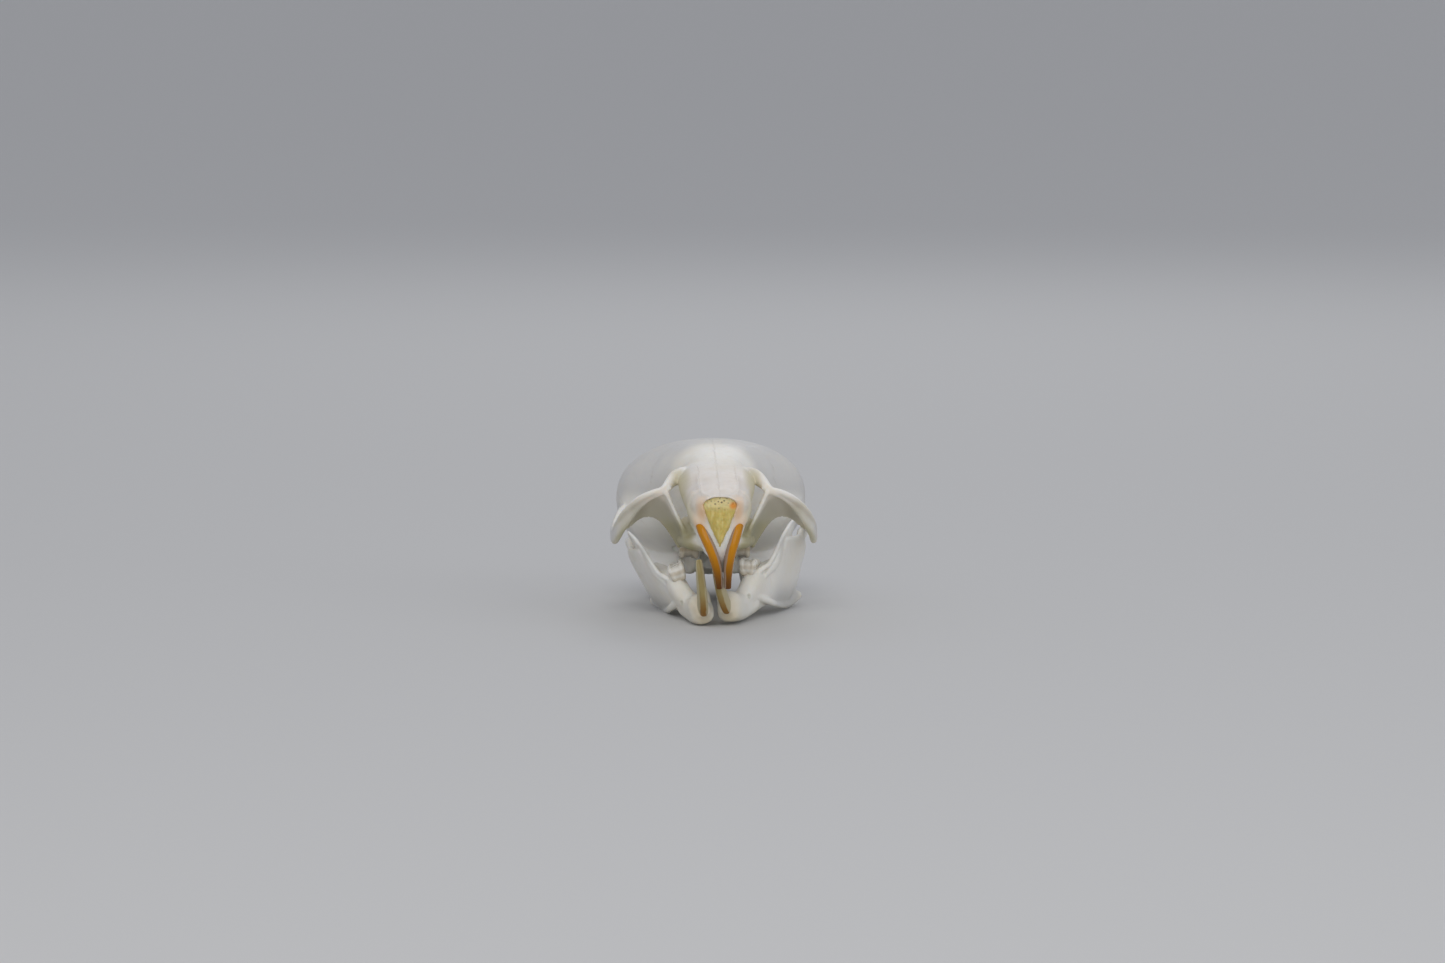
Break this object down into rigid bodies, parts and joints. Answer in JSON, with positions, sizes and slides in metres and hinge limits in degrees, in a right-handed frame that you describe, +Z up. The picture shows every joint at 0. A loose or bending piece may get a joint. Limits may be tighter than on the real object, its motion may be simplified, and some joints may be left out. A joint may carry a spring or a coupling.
{
  "type": "mouse skull",
  "caption": "Cleaned skull of a small rodent with its loose lower jaw halves beneath it, long curved orange front teeth, cheek teeth and thin cheek arches.",
  "frame": {"origin": "on the table, under the middle of the bounding box", "axes": "+Z up, -Y towards the nose, +X to the animal's left"},
  "size_m": [0.0116, 0.0214, 0.0093],
  "materials": {
    "bone": "satin, cleaned dry bone",
    "orange_enamel": "glossy orange enamel",
    "pale_enamel": "glossy pale yellow enamel",
    "molar_enamel": "glossy off-white enamel"
  },
  "bodies": {
    "root": {"braincase": "bone", "rostrum": "bone", "zygomatic_arch_left": "bone", "zygomatic_arch_right": "bone", "auditory_bulla_left": "bone", "auditory_bulla_right": "bone", "mandible_left": "bone", "mandible_right": "bone", "upper_incisor_left": "orange_enamel", "upper_incisor_right": "orange_enamel", "lower_incisor_left": "pale_enamel", "lower_incisor_right": "pale_enamel", "upper_molars_left": "molar_enamel", "upper_molars_right": "molar_enamel", "lower_molars_left": "molar_enamel", "lower_molars_right": "molar_enamel"}
  },
  "joints": []
}
